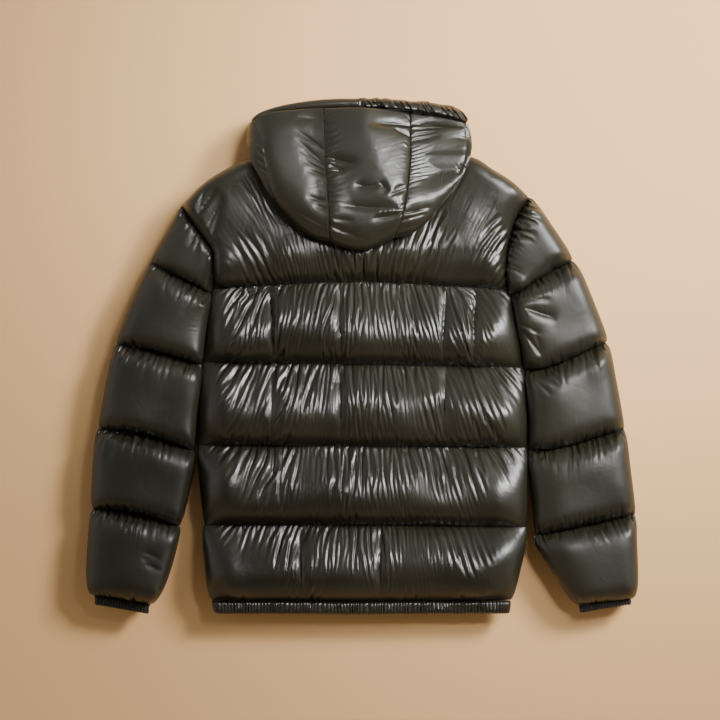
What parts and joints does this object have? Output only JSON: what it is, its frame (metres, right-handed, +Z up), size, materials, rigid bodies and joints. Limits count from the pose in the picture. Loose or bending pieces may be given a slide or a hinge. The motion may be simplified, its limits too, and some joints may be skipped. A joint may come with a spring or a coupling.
{
  "type": "puffer jacket",
  "caption": "Hooded puffer jacket laid face down with its sleeves at its sides: wide quilted padded rows, three-panel hood thrown back, elastic hem and cuffs, closed front zip.",
  "frame": {"origin": "middle of the jacket's outline, on the surface that it lies on", "axes": "+X across the back to the right with the back up, +Y from the hem to the hood, +Z up from the surface"},
  "size_m": [0.8612, 0.8036, 0.11],
  "materials": {
    "shell_nylon": "glossy down-proof nylon, dark olive",
    "elastic_knit": "ribbed elastic, near black",
    "zip_tape": "woven tape",
    "zip_metal": "dark satin"
  },
  "bodies": {
    "jacket": {"back_panel": "shell_nylon", "front_left": "shell_nylon", "front_right": "shell_nylon", "hem_back": "shell_nylon", "hem_front_left": "shell_nylon", "hem_front_right": "shell_nylon", "sleeve_left_upper": "shell_nylon", "sleeve_left_under": "shell_nylon", "sleeve_right_upper": "shell_nylon", "sleeve_right_under": "shell_nylon", "cuff_left": "elastic_knit", "cuff_right": "elastic_knit", "hood_centre": "shell_nylon", "hood_left": "shell_nylon", "hood_right": "shell_nylon", "hood_rim": "shell_nylon", "hood_neck_left": "shell_nylon", "hood_neck_right": "shell_nylon", "zip_tape_left": "zip_tape", "zip_tape_right": "zip_tape", "zip_chain": "zip_metal", "zip_slider": "zip_metal"},
    "pull": {"zip_pull": "zip_metal"}
  },
  "joints": [
    {"name": "pull_swing", "type": "hinge", "parent": "jacket", "child": "pull", "pos_m": [-0.00055, 0.34328, 0.0279], "axis": [1, 0, 0], "range_deg": [-85, 85]}
  ]
}
